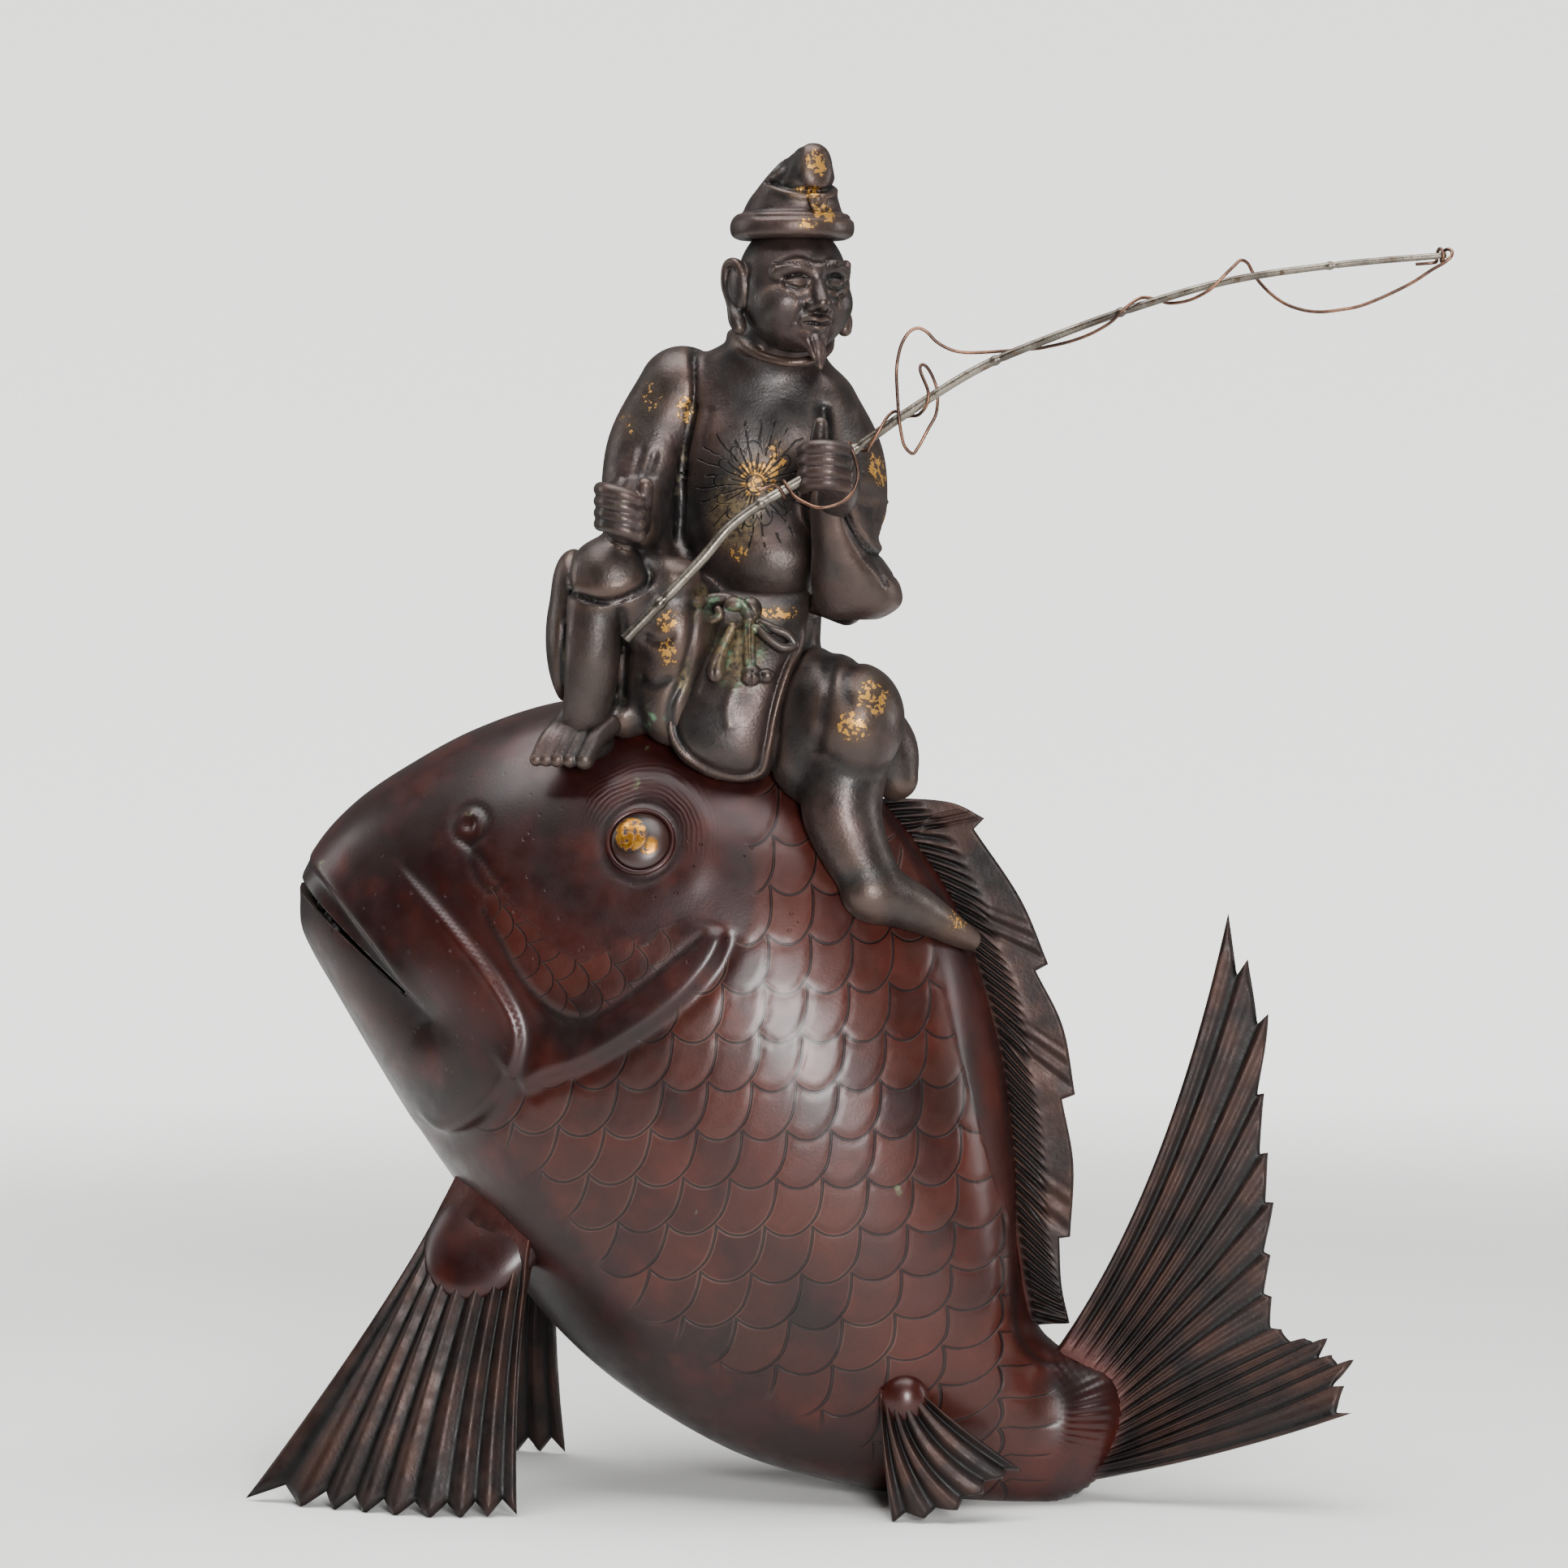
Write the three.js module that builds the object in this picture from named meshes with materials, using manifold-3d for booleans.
// A cast bronze incense burner: a fisherman rides a sea bream and holds a rod with a wire line.
// The fish is the hollow vessel, and the seated figure is the loose lid that covers its opening.
// Units are millimetres, +Z is up, and the fish looks along -X. Its plane of symmetry is y = 0
// inside the group, which is shifted at the end so that the origin is under the middle of the work.
import * as THREE from "three";
import { LoftGeometry } from "three/addons/geometries/LoftGeometry.js";
import { mergeGeometries, mergeVertices } from "three/addons/utils/BufferGeometryUtils.js";
import Module from "manifold-3d";

const wasm = await Module();
wasm.setup();

// Driving dimensions
const WALL = 4; // thickness of the casting
const FIT_GAP = 0.35; // air between pieces that rest on each other
const GROUP_SHIFT = [-18.3, 9.6, 0]; // from the fish's plane of symmetry to the middle of the work

const RED_BRONZE = { color: 0x5a231c, roughness: 0.38, metalness: 0.85 };
const BLACK_BRONZE = { color: 0x2b2725, roughness: 0.42, metalness: 0.85 };
const SILVERED = { color: 0x8c857c, roughness: 0.4, metalness: 0.95 };
const COPPER = { color: 0x5d4a40, roughness: 0.45, metalness: 0.95 };

// Helpers for closed surfaces and for joining them
const { lerp, clamp, degToRad } = THREE.MathUtils;
const v3 = (x, y, z) => new THREE.Vector3(x, y, z);
const smooth = (points) => new THREE.CatmullRomCurve3(points, false, "centripetal");
const steps = (count) => Array.from({ length: count + 1 }, (_, i) => i / count);

function solid(geometry) {
  const bare = new THREE.BufferGeometry().copy(geometry);
  bare.deleteAttribute("normal");
  bare.deleteAttribute("uv");
  const merged = mergeVertices(bare, 1e-4);
  const triangles = new Uint32Array(merged.index.array);
  const build = (triVerts) =>
    new wasm.Manifold(
      new wasm.Mesh({
        numProp: 3,
        vertProperties: merged.attributes.position.array,
        triVerts,
      }),
    );
  const made = build(triangles);
  return made.volume() > 0 ? made : build(triangles.reverse());
}

const joined = (solids) => solids.reduce((all, next) => all.add(next));

// Twice the area of a ring of points, as a vector along the axis that the ring turns about.
function areaVector(ring) {
  const sum = v3(0, 0, 0);
  ring.forEach((p, i) => sum.add(p.clone().cross(ring[(i + 1) % ring.length])));
  return sum;
}

const middleOf = (ring) => ring.reduce((sum, p) => sum.add(p), v3(0, 0, 0)).divideScalar(ring.length);

// Rings have to turn about the direction of the loft, or its walls and caps would disagree.
function loft(sections) {
  const turned = sections.slice(1).reduce((sum, ring, i) => {
    const travel = middleOf(ring).sub(middleOf(sections[i]));
    return sum + areaVector(ring).dot(travel);
  }, 0);
  const rings = turned > 0 ? sections : sections.map((ring) => [...ring].reverse());
  return solid(new LoftGeometry(rings, { capStart: true, capEnd: true }));
}

// A curved plate between sections of [front points, back points]. Strips that follow the curve close
// its first and last section.
function plate(sections) {
  const rings = sections.map(([front, back]) => [...front, ...[...back].reverse()]);
  const [firstFront, firstBack] = sections[0];
  const walls = new LoftGeometry(rings);
  const start = new LoftGeometry([firstBack, firstFront], { closed: false });
  const end = new LoftGeometry(sections[sections.length - 1], { closed: false });
  return solid(mergeGeometries([walls, start, end]));
}

// Where each ring of a limb stands, square to the path. The frames don't twist from ring to ring.
function framesAlong(path, rings) {
  const first = path.getTangent(0);
  let normal = Math.abs(first.z) < 0.8 ? v3(0, 0, 1) : v3(1, 0, 0);
  return steps(rings).map((share) => {
    const tangent = path.getTangent(share);
    normal = normal.clone().projectOnPlane(tangent).normalize();
    return { centre: path.getPoint(share), tangent, normal, binormal: tangent.clone().cross(normal) };
  });
}

// A round limb through [x, y, z, radius] stations, with domed ends.
function limb(stations, sides = 8, rings = stations.length + 1) {
  const path = smooth(stations.map(([x, y, z]) => v3(x, y, z)));
  const radii = smooth(stations.map((s, i) => v3(i, s[3], 0)));
  const frames = framesAlong(path, rings);
  const ring = (i, shift, scale) => {
    const radius = radii.getPoint(i / rings).y;
    const { tangent, normal, binormal } = frames[i];
    const centre = frames[i].centre.clone().addScaledVector(tangent, shift * radius);
    return steps(sides).slice(0, sides).map((share) => {
      const turn = 2 * Math.PI * share;
      return centre
        .clone()
        .addScaledVector(normal, Math.cos(turn) * radius * scale)
        .addScaledVector(binormal, Math.sin(turn) * radius * scale);
    });
  };
  const dome = degToRad(42);
  const start = ring(0, -Math.cos(dome), Math.sin(dome));
  const end = ring(rings, Math.cos(dome), Math.sin(dome));
  const middle = steps(rings).map((_, i) => ring(i, 0, 1));
  return loft([start, ...middle, end]);
}

// Level ellipses stacked up: each station is [z, centre x, centre y, half width, half depth].
function stack(stations, sides = 12, rings = stations.length + 1) {
  const centres = smooth(stations.map(([z, x, y]) => v3(x, y, z)));
  const sizes = smooth(stations.map(([z, , , rx, ry]) => v3(rx, ry, z)));
  return loft(
    steps(rings).map((share) => {
      const centre = centres.getPoint(share);
      const size = sizes.getPoint(share);
      return steps(sides).slice(0, sides).map((turn) => {
        const angle = 2 * Math.PI * turn;
        return v3(centre.x + size.x * Math.cos(angle), centre.y + size.y * Math.sin(angle), centre.z);
      });
    }),
  );
}

function ellipsoid([x, y, z], [rx, ry, rz], sides = 8) {
  const ball = new THREE.SphereGeometry(1, sides, Math.ceil(sides * 0.6));
  return solid(ball.rotateX(Math.PI / 2).scale(rx, ry, rz).translate(x, y, z));
}

const block = (size, centre) => solid(new THREE.BoxGeometry(...size).translate(...centre));

// The fish's side outline, from snout to tail: the ridge above, the belly below, and how far the
// flank stands out from the plane of symmetry: [ridge x, ridge z, belly x, belly z, half width].
const BODY_STATIONS = [
  [-149.4, 189, -150.8, 179, 3],
  [-146.2, 197.2, -150, 171.8, 12],
  [-141.2, 204.1, -146, 163.8, 19],
  [-131, 213.7, -139, 152.5, 27],
  [-116.2, 223.5, -128.6, 135.4, 35.5],
  [-96, 234.3, -114.5, 113, 44],
  [-70, 242.8, -99.3, 91.7, 51],
  [-40, 245, -80, 61.5, 56],
  [-10, 238.6, -59.5, 40, 59],
  [17, 225, -36, 23.5, 59],
  [39, 203.6, -11.5, 11.2, 56],
  [56.8, 173.5, 15, 4, 50],
  [66.5, 141, 38, 0.2, 42],
  [71.5, 103, 57, -0.8, 33],
  [73.3, 72, 70, -1.5, 25],
  [79.3, 51, 80, -1.2, 19],
  [91, 43, 89, 1, 15],
  [101, 39, 96.5, 6.3, 10],
  [105.5, 32, 103, 15, 4],
];
const SKIN_RINGS = 24;
const SKIN_SIDES = 16;
const ridgeLine = smooth(BODY_STATIONS.map(([x, z, , , half]) => v3(x, half, z)));
const bellyLine = smooth(BODY_STATIONS.map(([, , x, z]) => v3(x, 0, z)));

function bodySection(t) {
  const ridge = ridgeLine.getPoint(t);
  const halfWidth = ridge.y;
  ridge.y = 0;
  const belly = bellyLine.getPoint(t);
  const centre = ridge.clone().add(belly).multiplyScalar(0.5);
  const halfHeight = ridge.distanceTo(belly) / 2;
  const up = ridge.clone().sub(centre).normalize();
  return { centre, up, halfHeight, halfWidth };
}

// The skin of the fish between two stations; grow moves it outwards, or inwards below zero.
function bodySkin(grow, from, to, rings, sides) {
  return loft(
    steps(rings).map((share) => {
      const { centre, up, halfHeight, halfWidth } = bodySection(lerp(from, to, share));
      return steps(sides).slice(0, sides).map((turn) => {
        const angle = 2 * Math.PI * turn;
        return centre
          .clone()
          .addScaledVector(up, (halfHeight + grow) * Math.cos(angle))
          .setY(Math.max(halfWidth + grow, 1) * Math.sin(angle));
      });
    }),
  );
}

// How far the flank stands out at a point of the side view.
function flank(x, z) {
  let best = { miss: Infinity, out: 0 };
  for (const t of steps(300)) {
    const { centre, up, halfHeight, halfWidth } = bodySection(t);
    const offset = v3(x - centre.x, 0, z - centre.z);
    const along = offset.dot(up) / halfHeight;
    const miss = offset.addScaledVector(up, -along * halfHeight).length();
    if (Math.abs(along) < 1 && miss < best.miss) {
      best = { miss, out: halfWidth * Math.sqrt(1 - along * along) };
    }
  }
  return best.out;
}

const SIDES = [-1, 1];
const onFlank = (side, x, z, sink = 0) => v3(x, side * (flank(x, z) - sink), z);

// A raised line that follows the flank through [x, z] points.
function reliefLine(side, points, radius) {
  const stations = points.map(([x, z]) => [...onFlank(side, x, z, radius * 0.35).toArray(), radius]);
  return limb(stations, 4, points.length);
}

const JAW_PLATE = [[-114, 198], [-104, 187], [-89, 170], [-79, 152], [-74, 138], [-76, 125], [-88, 115]];
const GILL_OUTER = [[-9, 176], [-14, 165], [-30, 152], [-45, 141], [-60, 133], [-70, 129]];
const EYE = { x: -36.5, z: 202, ring: 9.6, ball: 7 };
const MOUTH = { front: [-153, 190.5], corner: [-104, 149], frontGap: 5.2, cornerGap: 1.2 };

function headRelief(side) {
  const eye = onFlank(side, EYE.x, EYE.z);
  const rim = new THREE.TorusGeometry(EYE.ring, 1.8, 4, 12).rotateX(Math.PI / 2);
  rim.rotateX(side * degToRad(-28)).translate(eye.x, eye.y, eye.z);
  return [
    reliefLine(side, JAW_PLATE, 2.4),
    reliefLine(side, GILL_OUTER, 2.6),
    solid(rim),
    ellipsoid(eye.toArray(), [EYE.ball, 4.5, EYE.ball]),
  ];
}

// The open mouth: a wedge across the whole snout that narrows to the corner of the jaws.
function mouthGap() {
  const [fx, fz] = MOUTH.front;
  const [cx, cz] = MOUTH.corner;
  const along = new THREE.Vector2(cx - fx, cz - fz).normalize();
  const across = new THREE.Vector2(-along.y, along.x);
  const corners = [
    [fx, fz, MOUTH.frontGap / 2],
    [cx, cz, MOUTH.cornerGap / 2],
    [cx, cz, -MOUTH.cornerGap / 2],
    [fx, fz, -MOUTH.frontGap / 2],
  ].map(([x, z, off]) => new THREE.Vector2(x + across.x * off, z + across.y * off));
  const depth = 160;
  const wedge = new THREE.ExtrudeGeometry(new THREE.Shape(corners), { depth, bevelEnabled: false });
  return solid(wedge.translate(0, 0, -depth / 2).rotateX(Math.PI / 2));
}

// A ribbed fin: root, bend and tip give a ray's curve at its share of the fin. The plate swells over
// each ray, and its edge runs back to a notch where the next ray's groove lies.
function fan({ rays, groove = 0.5, along, root, bend, tip, notch, rootHalf, tipHalf, ridge }) {
  const rayCurve = (share) => new THREE.QuadraticBezierCurve3(root(share), bend(share), tip(share));
  const crests = steps(rays).map((share) => ({ share, crest: 1 }));
  const grooves = steps(rays).slice(0, rays).map((share) => ({ share: share + groove / rays, crest: 0 }));
  const order = [...crests, ...grooves].sort((a, b) => a.share - b.share);
  const sections = order.map(({ share, crest }) => {
    const curve = rayCurve(share);
    const beside = rayCurve(share > 0.5 ? share - 0.02 : share + 0.02);
    const reach = crest ? 1 : 1 - notch;
    const face = (side) =>
      steps(along).map((part) => {
        const at = part * reach;
        const across = beside.getPoint(at).sub(curve.getPoint(at)).multiplyScalar(share > 0.5 ? -1 : 1);
        const normal = across.cross(curve.getTangent(at)).normalize();
        const half = lerp(rootHalf, tipHalf, at) * (crest ? 1 : 1 - ridge * Math.min(1, 4 * part));
        return curve.getPoint(at).addScaledVector(normal, side * half);
      });
    return [face(1), face(-1)];
  });
  return plate(sections);
}

const threeWay = (points) => {
  const curve = smooth(points.map((p) => v3(...p)));
  return (share) => curve.getPoint(share);
};

const mirrored = (side, points) => threeWay(points.map(([x, y, z]) => [x, side * y, z]));

// The breast fins are the front legs: nine rays end in points on the ground. The far one stands a
// little nearer to the snout.
const FAR_FIN_SHIFT = [-4.5, 0, 0];

function breastFin(side) {
  return fan({
    rays: 8,
    along: 2,
    root: mirrored(side, [[-97, 16, 97], [-85, 27, 94], [-71, 33, 82]]),
    bend: mirrored(side, [[-116.5, 34, 58], [-107, 40, 51], [-92, 43, 48], [-77, 41, 49]]),
    tip: mirrored(side, [
      [-160.5, 38, 0.6],
      [-141.5, 46, -0.2],
      [-130.5, 49, -0.4],
      [-120.5, 52, -0.6],
      [-110.5, 55, -0.6],
      [-99.5, 57, -0.6],
      [-90, 56, -0.4],
      [-82, 54.5, 0.2],
      [-73.5, 52.5, 0.6],
    ]),
    notch: 0.05,
    rootHalf: 4.5,
    tipHalf: 2.3,
    ridge: 0.5,
  }).translate(side > 0 ? FAR_FIN_SHIFT : [0, 0, 0]);
}

const KNUCKLE = { x: 40.5, z: 36.5, half: [7.5, 6, 7] };

function anchorFin(side) {
  const knuckle = ellipsoid(onFlank(side, KNUCKLE.x, KNUCKLE.z).toArray(), KNUCKLE.half, 6);
  const web = fan({
    rays: 5,
    along: 2,
    root: mirrored(side, [[35, 36, 38], [40, 38, 36], [46, 36, 37]]),
    bend: mirrored(side, [[35.5, 45, 20], [45, 46, 18], [61, 41, 27]]),
    tip: mirrored(side, [
      [38.8, 44, -0.6],
      [48.5, 44, 1.2],
      [58.5, 44, 4],
      [66, 43, 9],
      [71.6, 40, 13],
      [76.8, 36, 14.8],
    ]),
    notch: 0.07,
    rootHalf: 4,
    tipHalf: 2.2,
    ridge: 0.5,
  });
  return knuckle.add(web);
}

// The tail fin stands up behind the fish, and its lower lobe spreads towards the viewer.
function tailFin() {
  return fan({
    rays: 14,
    groove: 0.8,
    along: 3,
    root: threeWay([[84, 1, 46], [95, 1, 40], [101, 0, 33], [101, -1, 22], [97, -2, 12], [90, -3, 6]]),
    bend: threeWay([[117, 2, 93], [124, 2, 78], [127, 1, 60], [129, -2, 40], [132, -5, 28], [132, -9, 14]]),
    tip: threeWay([
      [135.5, 4, 179.7],
      [141.5, 4, 165.7],
      [147.8, 3.5, 149.2],
      [146.7, 3, 125],
      [148, 2, 107],
      [149.8, 1, 92],
      [149, 0, 76],
      [149.5, -1, 63.5],
      [152.5, -3, 54],
      [159.7, -5, 51.7],
      [166.6, -7, 52.2],
      [168, -9, 47.5],
      [174.6, -11, 46.5],
      [172, -14, 39],
      [174.3, -17, 31.3],
    ]),
    notch: 0.05,
    rootHalf: 4.2,
    tipHalf: 1.6,
    ridge: 0.45,
  });
}

// The dorsal fin: five lobes, whose edges each rise to a spine's tip and drop back to the next lobe.
const DORSAL = {
  base: [[24, 212], [37, 202], [54, 176], [65.5, 141], [70.5, 92], [76, 53]],
  lobes: [
    [[32, 214.2], [52, 212.6], [61.6, 208]],
    [[58.4, 204.7], [73, 183], [81.2, 163.7]],
    [[77.4, 161.6], [85.6, 145], [89.5, 124]],
    [[85.5, 122.4], [89, 103], [88.1, 80.4]],
    [[84.8, 79.9], [85.6, 65], [88, 54]],
  ],
};

function dorsalFin() {
  const base = smooth(DORSAL.base.map(([x, z]) => v3(x, 0, z)));
  const sections = DORSAL.lobes.flatMap((lobe, i) => {
    const edge = smooth(lobe.map(([x, z]) => v3(x, 0, z)));
    return steps(3).map((part) => {
      const root = base.getPoint((i + 0.97 * part) / DORSAL.lobes.length);
      const rim = edge.getPoint(part);
      const middle = root.clone().lerp(rim, 0.55);
      return SIDES.map((side) => [
        root.clone().setY(4.5 * side),
        middle.clone().setY(2.2 * side),
        rim.clone().setY(side),
      ]);
    });
  });
  return plate(sections);
}

// The hollow, as shares of the fish's length, and its opening in the back, under the figure's seat.
const HOLLOW = [0.16, 0.78];
const OPENING = { x: -18, y: 0, halfLength: 22, halfWidth: 15 };

function openingCut() {
  const height = 110;
  const shaft = new THREE.CylinderGeometry(1, 1, height, 12).rotateX(Math.PI / 2);
  shaft.scale(OPENING.halfLength, OPENING.halfWidth, 1).translate(OPENING.x, OPENING.y, 260 - height / 2);
  return solid(shaft);
}

function fish() {
  const relief = SIDES.flatMap((side) => [...headRelief(side), breastFin(side), anchorFin(side)]);
  const outside = joined([bodySkin(0, 0, 1, SKIN_RINGS, SKIN_SIDES), dorsalFin(), tailFin(), ...relief]);
  const cavity = bodySkin(-WALL, ...HOLLOW, 11, 12);
  const belowFloor = block([400, 200, 20], [0, 0, -10]);
  return outside.subtract(cavity).subtract(openingCut()).subtract(mouthGap()).subtract(belowFloor);
}

// The seated figure. It faces the viewer, with its head turned towards the rod.
const HEAD = { centre: [6.3, -24, 366], turn: 34, half: [17, 17.5, 19] };

function placedOnHead(made) {
  const turn = new THREE.Matrix4().makeRotationZ(degToRad(HEAD.turn));
  const place = new THREE.Matrix4().makeTranslation(...HEAD.centre).multiply(turn);
  return made.transform(place.toArray());
}

// Built about the head's centre, facing -Y.
function head() {
  const [halfWidth, halfDepth, halfHeight] = HEAD.half;
  const features = [
    ellipsoid([0, 0, 0], [halfWidth, halfDepth, halfHeight], 10),
    ellipsoid([0, -3.5, -7], [17, 15, 13]),
    limb([[0, -15.5, 5, 1.6], [0, -18.5, -2.5, 2.6]], 4, 1),
    limb([[0, -14, -13, 4], [0, -16, -25, 0.9]], 5, 1),
    ellipsoid([0, -15.6, -8.5], [4.6, 2.2, 1.6], 5),
    ellipsoid([0, -13, 7.5], [11, 4.5, 2.6], 5),
  ];
  for (const side of SIDES) {
    features.push(ellipsoid([side * 18, 3, 2.5], [3.2, 3.6, 9.5], 6));
    features.push(ellipsoid([side * 6, -14.6, 3.2], [3.4, 2.2, 2.2], 5));
  }
  return placedOnHead(joined(features));
}

function hat() {
  const cloth = stack([
    [16.5, -0.5, 1, 16.5, 17],
    [18.5, -0.5, 1, 18.6, 19],
    [22.5, -0.5, 1, 18.3, 18.7],
    [24, -0.5, 1, 15.6, 16.4],
    [30, -0.3, -0.7, 12.4, 13],
    [34.5, 0, -3, 10.8, 11.3],
    [41.5, 0.5, -7.5, 7, 7.5],
    [45, 1, -11, 2.5, 3],
  ], 12, 7);
  const badge = ellipsoid([0, -14.5, 27.5], [2.4, 2, 3.2], 5);
  return placedOnHead(cloth.add(badge));
}

function torso() {
  const trunk = stack([
    [244, -9, 2, 25, 20],
    [257, -10, 0, 20.5, 19],
    [269.5, -7, -4.5, 17, 17],
    [270.5, -7, -4.5, 18.6, 18.6],
    [275, -7, -5, 18.6, 18.6],
    [276, -7, -5, 17.2, 17],
    [290, -8, -9, 20.5, 19.6],
    [320, -9, -9, 24, 19],
    [336, -8, -8, 27, 16.5],
    [349, -7, -9, 20, 13.5],
    [358, 1, -16, 12, 12],
  ], 12, 9);
  const neckline = [[-8, -8, 352, 2.2], [-5, -22, 349, 2.2], [5, -27, 346, 2.2], [13, -20, 349, 2.2]];
  const collar = limb(neckline, 4);
  return [trunk, collar];
}

// A closed fist: rings across the back of the hand, which swell over each of the four fingers.
function fist([x, y, z], [rx, ry, rz], tilt, thumb) {
  const fingers = 4;
  const rings = steps(2 * fingers).map((share, i) => {
    const reach = Math.sqrt(1 - (1.7 * share - 0.85) ** 2) * (i % 2 ? 1 : 0.84);
    return steps(8).slice(0, 8).map((turn) => {
      const angle = 2 * Math.PI * turn;
      return v3(rx * reach * Math.cos(angle), ry * reach * Math.sin(angle), lerp(-rz, rz, share));
    });
  });
  const turn = new THREE.Matrix4().makeRotationY(degToRad(tilt));
  const place = new THREE.Matrix4().makeTranslation(x, y, z).multiply(turn);
  return loft(rings).transform(place.toArray()).add(limb(thumb, 5, 2));
}

// The right arm rests on the raised knee.
function rightArm() {
  const sleeve = limb([
    [-31.5, -8, 337, 14.5],
    [-38.3, -10, 319, 14.5],
    [-40, -17, 304, 13],
    [-40, -36, 299, 9.5],
    [-39, -48, 298, 7],
  ]);
  const thumb = [[-36, -50, 300, 3], [-33, -56, 305, 2.8], [-32, -59, 308, 2.4]];
  return [sleeve, fist([-39, -57, 301], [8, 7, 7], 28, thumb)];
}

// The left arm is bent up to hold the rod, and its wide sleeve hangs down under the forearm.
function leftArm() {
  const upper = limb([
    [12, -8, 331, 13],
    [18.5, -11, 317, 13.3],
    [21, -18, 304, 12.8],
    [23.5, -36, 303, 9.8],
    [23.5, -52, 309, 7.5],
  ]);
  const hangingSleeve = stack([
    [309, 23, -37, 7, 17],
    [299, 24, -36, 9.3, 20],
    [288, 25, -34, 11, 19],
    [277, 27, -33, 11.8, 16],
    [268.5, 27, -33, 7, 9],
  ], 10, 5);
  const wrist = limb([[23, -50, 306, 6], [22, -58, 310, 5.5]], 6, 1);
  const thumb = [[19, -62, 317, 3], [19.5, -66, 322, 2.8], [21, -68, 326, 2.3]];
  return [upper, hangingSleeve, wrist, fist([22, -67, 313], [8.3, 7.5, 7.5], -4, thumb)];
}

function legs() {
  return [
    limb([[-18, -6, 258, 18], [-32, -26, 268, 17], [-45, -41, 280, 12.5]]),
    ellipsoid([-46, -41, 278], [14, 13, 13]),
    ellipsoid([-28, -31, 254], [12, 13, 21]),
    ellipsoid([-60, -25, 263], [9, 13, 22]),
    limb([[-46, -42, 274, 10], [-49, -41, 258, 9], [-52, -34, 244, 7], [-53, -30, 238, 6.5]]),
    limb([[2, -8, 245, 15], [14, -24, 243, 15.5], [25, -37, 240, 15]]),
    ellipsoid([27, -37, 236], [12.5, 14, 16.5]),
    ellipsoid([14, -30, 231], [15, 13, 18]),
    limb([
      [26.5, -34, 227, 13.3],
      [29, -42, 210, 11],
      [34, -39, 196, 8.5],
      [39, -34, 185, 8.6],
      [46, -27, 180, 6.6],
      [53, -20, 176, 4.8],
      [60, -14, 172.5, 3],
    ], 8, 7),
  ];
}

function bareFoot() {
  const toes = steps(4).map((share) => {
    const x = lerp(-66, -52.5, share);
    return limb([[x + 3, -33, 234, 3.2], [x, -40.5, 227.5, 2.3]], 5, 1);
  });
  return [limb([[-53, -26, 236, 7], [-57, -32, 234, 7.5], [-59, -35, 231, 6.5]], 8), ...toes];
}

// The front of the robe hangs over the lap and ends in a rounded hem.
function apron() {
  const panel = stack([
    [277, -3, -23, 13, 4],
    [262, -5, -29, 16, 8],
    [247, -8, -33, 19, 9],
    [235, -10, -34, 19, 9],
    [226, -10, -33, 13, 9],
    [221.5, -8, -32, 6, 6],
  ], 10, 5);
  const seat = stack([
    [256, -8, 4, 30, 22],
    [246, -8, 3, 36, 27],
    [238, -6, 2, 37, 27],
    [231, -4, 2, 36, 25],
  ], 14, 3);
  return [panel, seat];
}

function beltBow() {
  const knot = ellipsoid([-12.5, -31.5, 272], [3.6, 3.4, 3.4], 8);
  const loops = [
    ellipsoid([-18, -31, 271.5], [4.2, 2.4, 2.6], 8),
    ellipsoid([-5, -33, 267], [6, 2.4, 2.6], 8),
  ];
  const tails = [[-16, 252], [-5, 249]].map(([x, z]) =>
    limb([[-12, -32, 271, 1.6], [(x - 12) / 2, -37, 262, 1.7], [x, -41, z, 2.6]], 5, 2),
  );
  return [knot, ...loops, ...tails];
}

// The rod, a bent and noded cane, from its butt to its tip.
const ROD = [
  [-36, -77, 264],
  [-14.3, -74, 286.7],
  [-5.8, -72.5, 296.7],
  [1.6, -71.2, 302.5],
  [13.3, -69.5, 309.5],
  [30.6, -68, 319.6],
  [44.7, -68.5, 329.2],
  [66.5, -69.3, 342.5],
  [85, -70, 350.3],
  [113.2, -72, 360.2],
  [139, -74, 367.2],
  [170, -76, 371.5],
  [201, -77.3, 374],
];
const ROD_RADIUS = { butt: 1.7, tip: 0.9 };
const rodPath = smooth(ROD.map((p) => v3(...p)));
const rodRadius = (share) => lerp(ROD_RADIUS.butt, ROD_RADIUS.tip, share);

function rodSolid(grow) {
  const rings = 24;
  const stations = steps(rings).map((share) => [
    ...rodPath.getPointAt(share).toArray(),
    rodRadius(share) + grow,
  ]);
  return limb(stations, 5, rings);
}

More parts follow.
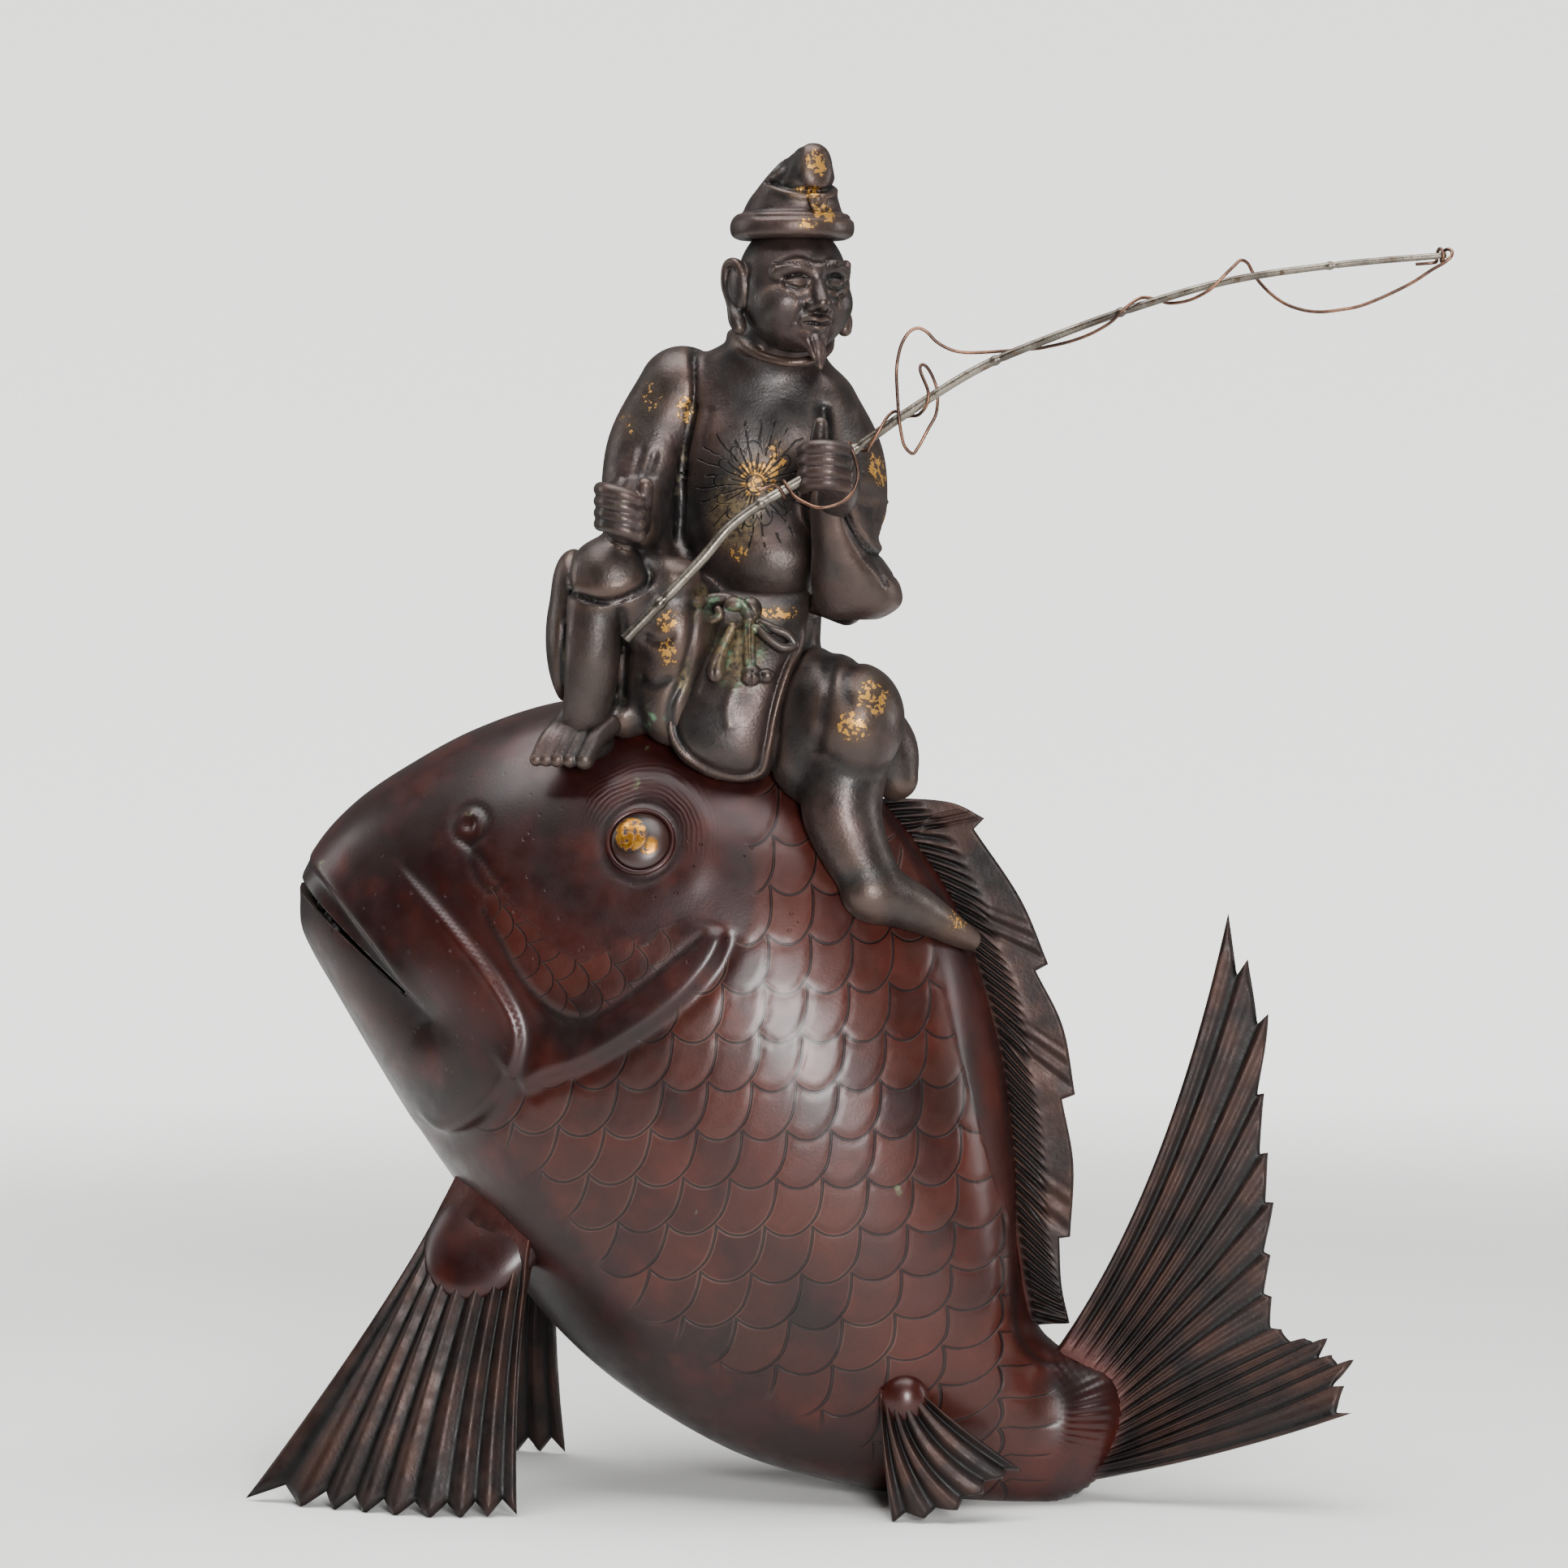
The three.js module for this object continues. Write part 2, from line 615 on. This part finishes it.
// The wire line, as [x, z, how far it runs behind the middle of the rod]: its loose end, two turns
// below the hand, the loop under the hand, the twists and loops above it, and the tie at the tip.
const LINE_RADIUS = 0.5;
const LINE = [
  [3.1, 307.3, -5], [5.6, 308.2, -4.5], [7.9, 308.6, -3.2], [9.1, 307.8, -2.9], [10.1, 305.6, -2.2],
  [10, 304.8, 0.4], [9.6, 306.5, 2.9], [9, 308.5, 2.9], [10, 309.3, 0.3], [11.5, 308.1, -2.9], [13.2, 305.9, -4.2],
  [16.5, 303.9, -6], [21.7, 302.3, -9], [27.3, 303.8, -8], [30.5, 306.8, -6.5], [32, 311.4, -5.5],
  [31.2, 316.2, -4.6], [30, 318.8, -3.4], [28.8, 320.7, -1], [29.5, 320.6, 1.8], [30.9, 319.7, 2.8],
  [33, 319.2, 1.2], [34.9, 320.2, -1.6], [36.8, 322.9, -2.9], [40.5, 329.1, -1.4], [42.3, 330, 0.4],
  [43.5, 329.6, 2.2], [44.8, 328.8, 2.8], [46.9, 329, 2.2], [48.6, 329.4, 0.6], [51.6, 331.7, -2.6],
  [52.3, 333.9, -2.9], [52.1, 336.3, -2.6], [49.6, 342.4, -0.4], [49.9, 343.8, 0.4], [51.2, 343.3, 1],
  [54.1, 336.9, 2.9], [54, 329.6, 2], [51.9, 325.3, 1], [49.1, 320, 0], [47.5, 318, -0.6],
  [45.3, 320, -1.6], [44.3, 323.9, -2.4], [43.8, 327.7, -3], [43.3, 332.9, -2.6], [42.8, 342.6, -1.4],
  [43.3, 346.4, -1], [44.3, 350, -0.6], [46.5, 353.4, 0], [48.8, 354.4, 0.4], [51.2, 353.4, 0.8],
  [54.1, 350.5, 1.2], [57.9, 348.3, 1.6], [62.3, 347.3, 2], [74.3, 347.7, 2.7], [77.6, 347.9, 2.6],
  [86.5, 348.9, 1], [93.9, 350.4, -0.4], [100.2, 352.7, -1.6], [105.5, 355.8, -2.3], [108.4, 358.6, -2.6],
  [110.9, 360.8, -2], [113.2, 362.2, -0.6], [115.2, 362.7, 1], [119.3, 361.8, 2.3], [121.4, 361.2, 1.4],
  [124.1, 361.1, 0.3], [127.9, 361.8, -1], [131.7, 363.4, -2.1], [134.5, 365.2, -2.4], [137.9, 368.7, -1.8],
  [141, 371.8, -0.8], [142.5, 373.1, -0.3], [144.3, 372.4, 0.8], [145.8, 369.8, 2.1], [147.3, 367.5, 2.2],
  [150.9, 363.7, 1.6], [155.3, 360.6, 1], [160.3, 358.8, 0.6], [165.2, 358.2, 0.2], [170.8, 358.7, 0],
  [177, 359.9, 0], [190.5, 365.8, -0.4], [196.7, 369.7, -0.8], [201.4, 373, -1], [202.1, 374.8, -0.2],
  [201.2, 375.7, 0.8], [199.9, 374.8, 1.7], [199.5, 372.9, 1.2], [199.8, 372.2, -0.3], [200.2, 373.7, -1.75],
  [199.7, 375.4, -1], [198.9, 375.8, 0.6], [198.3, 374.1, 1.7], [198.1, 372.4, 0.9], [197.3, 372, -0.2], [192.3, 371.6, -0.3],
];

// The nearest place on the rod and how far the wire's middle has to stay from it.
function besideRod(point) {
  const share = steps(240).reduce((best, next) =>
    rodPath.getPointAt(next).distanceTo(point) < rodPath.getPointAt(best).distanceTo(point) ? next : best,
  );
  return { middle: rodPath.getPointAt(share), reach: rodRadius(share) + LINE_RADIUS + 1.3 * FIT_GAP };
}

function clearOfRod(point) {
  const { middle, reach } = besideRod(point);
  const away = point.clone().sub(middle);
  return away.length() < reach ? middle.addScaledVector(away.normalize(), reach) : point;
}

const rodDepth = (x) => {
  const next = Math.max(1, ROD.findIndex(([rodX]) => rodX > x));
  const [[x0, y0], [x1, y1]] = ROD.slice(next - 1, next + 1);
  return lerp(y0, y1, clamp((x - x0) / (x1 - x0), 0, 1));
};

function lineSolid() {
  const path = smooth(LINE.map(([x, z, behind]) => clearOfRod(v3(x, rodDepth(x) + behind, z))));
  const rings = 116;
  const stations = steps(rings).map((share) => [...clearOfRod(path.getPoint(share)).toArray(), LINE_RADIUS]);
  return limb(stations, 3, rings);
}

function geometryOf(made) {
  const { numProp, vertProperties, triVerts, numVert } = made.getMesh();
  const positions = new Float32Array(numVert * 3);
  for (let i = 0; i < numVert; i++) {
    positions.set(vertProperties.subarray(i * numProp, i * numProp + 3), i * 3);
  }
  const geometry = new THREE.BufferGeometry();
  geometry.setAttribute("position", new THREE.BufferAttribute(positions, 3));
  geometry.setIndex(new THREE.BufferAttribute(triVerts, 1));
  geometry.computeVertexNormals();
  return geometry;
}

function piece(name, made, finish) {
  const mesh = new THREE.Mesh(geometryOf(made), new THREE.MeshStandardMaterial(finish));
  mesh.name = name;
  return mesh;
}

const seated = joined([
  head(),
  hat(),
  ...torso(),
  ...rightArm(),
  ...leftArm(),
  ...legs(),
  ...bareFoot(),
  ...apron(),
  ...beltBow(),
]);
const skinWithGap = bodySkin(FIT_GAP, 0, 1, SKIN_RINGS, SKIN_SIDES);
const figure = seated.subtract(skinWithGap).subtract(rodSolid(FIT_GAP));

const burner = new THREE.Group();
burner.add(
  piece("fish_vessel", fish(), RED_BRONZE),
  piece("fisherman_lid", figure, BLACK_BRONZE),
  piece("fishing_rod", rodSolid(0), SILVERED),
  piece("fishing_line", lineSolid(), COPPER),
);
burner.position.set(...GROUP_SHIFT);

export default burner;
